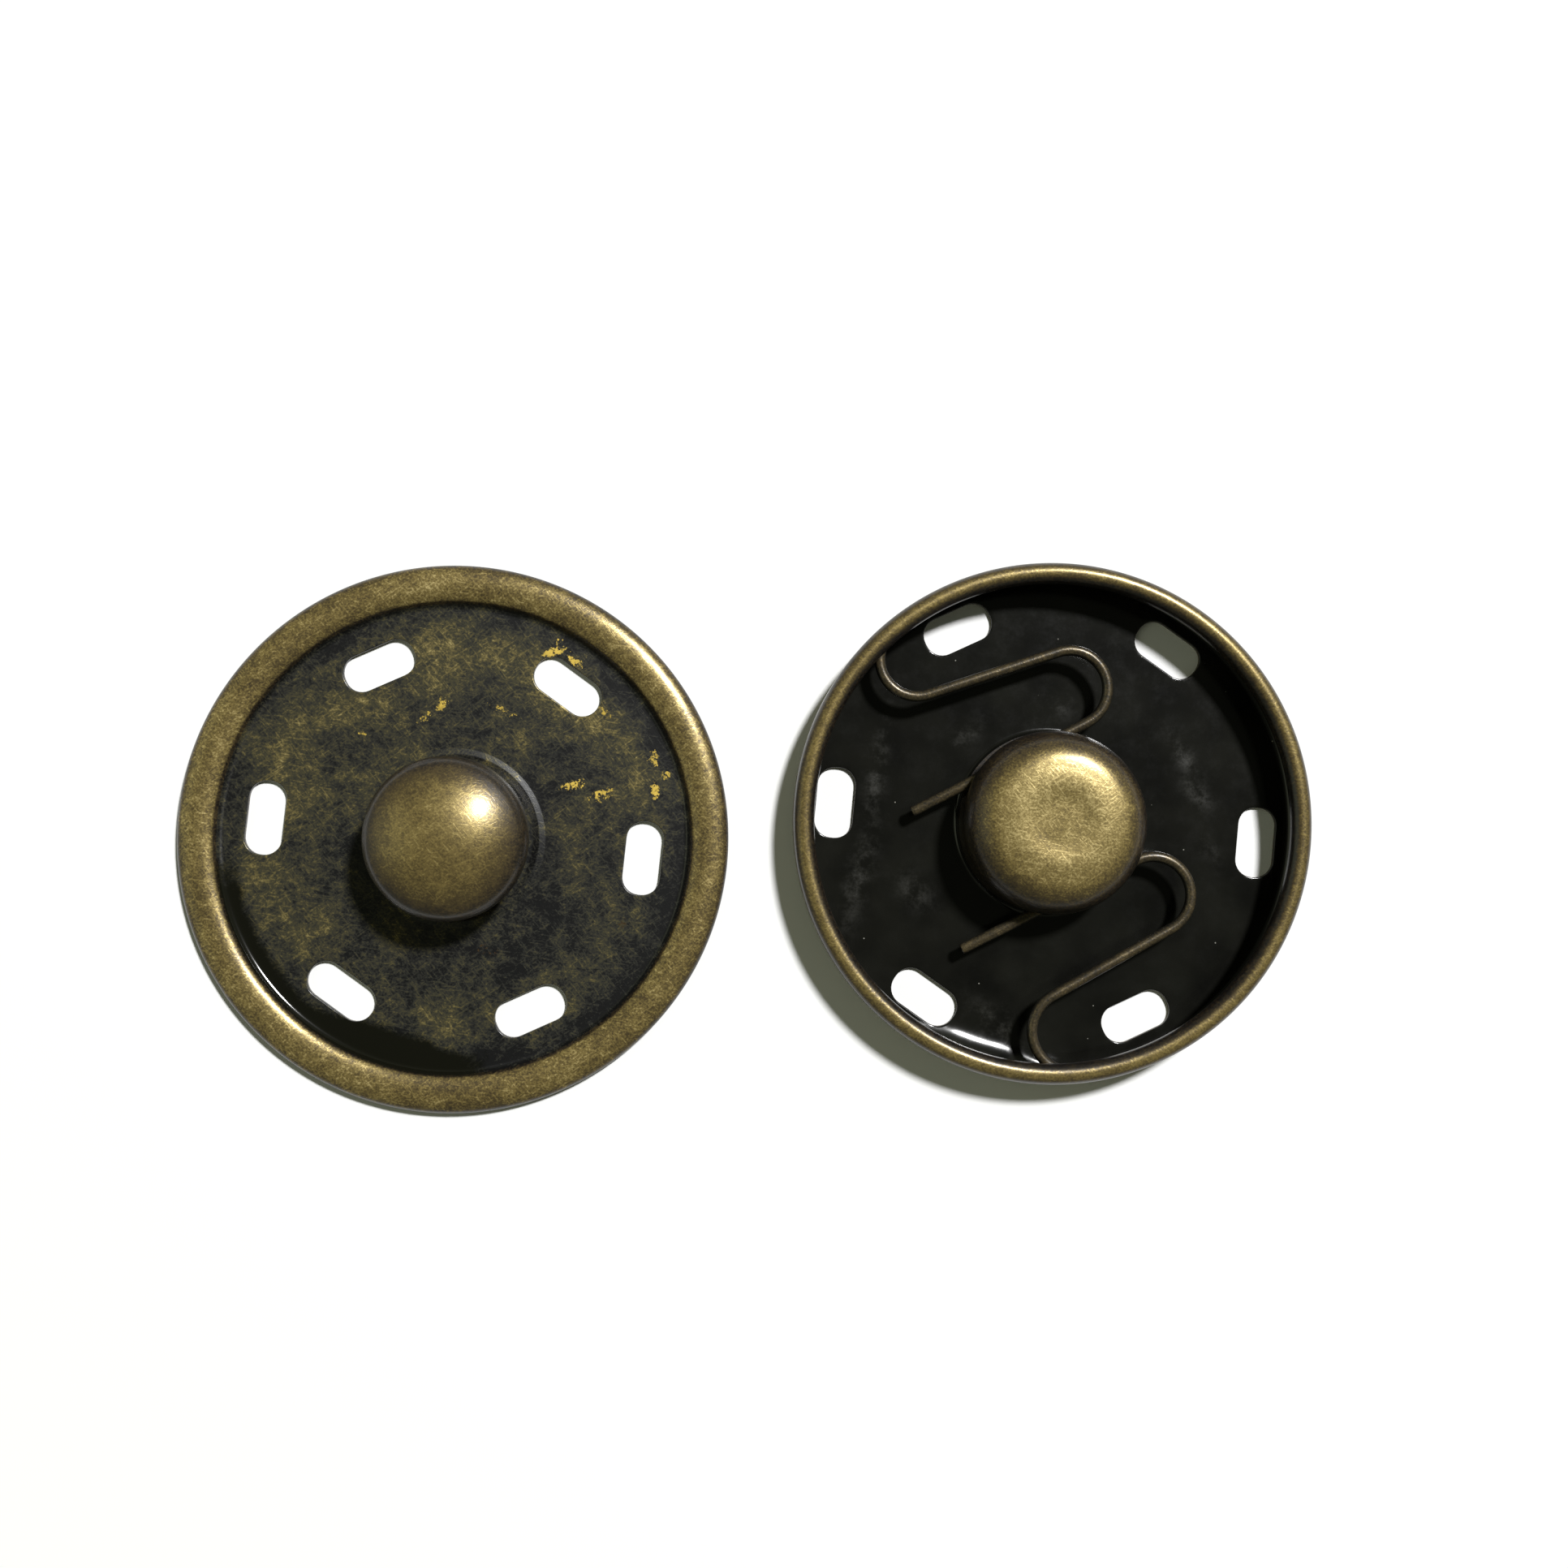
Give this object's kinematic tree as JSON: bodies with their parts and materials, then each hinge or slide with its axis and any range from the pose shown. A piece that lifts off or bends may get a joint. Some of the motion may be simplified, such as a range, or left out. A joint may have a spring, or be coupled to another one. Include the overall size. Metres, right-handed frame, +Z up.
{
  "type": "snap fastener",
  "caption": "Sew-on metal snap fastener: a rimmed disc with a hollow ball, and a rimmed disc whose cup holds a bent wire spring that grips the ball.",
  "frame": {"origin": "centre of the pair's box, on the table that both halves lie on", "axes": "+X from the stud half to the socket half, +Y towards the back of the table, +Z up, along the axes of the ball and the cup"},
  "size_m": [0.0619, 0.03, 0.0052],
  "materials": {
    "antique_brass_stud": "antique brass, brushed rim and ball, oxidised floor",
    "blackened_brass_socket": "blackened and lacquered floor, brushed cup and rolled rim",
    "bronzed_spring_wire": "bronzed wire, rubbed bright on top"
  },
  "bodies": {
    "root": {"stud_plate": "antique_brass_stud", "socket_plate": "blackened_brass_socket", "spring_wire": "bronzed_spring_wire"}
  },
  "joints": []
}
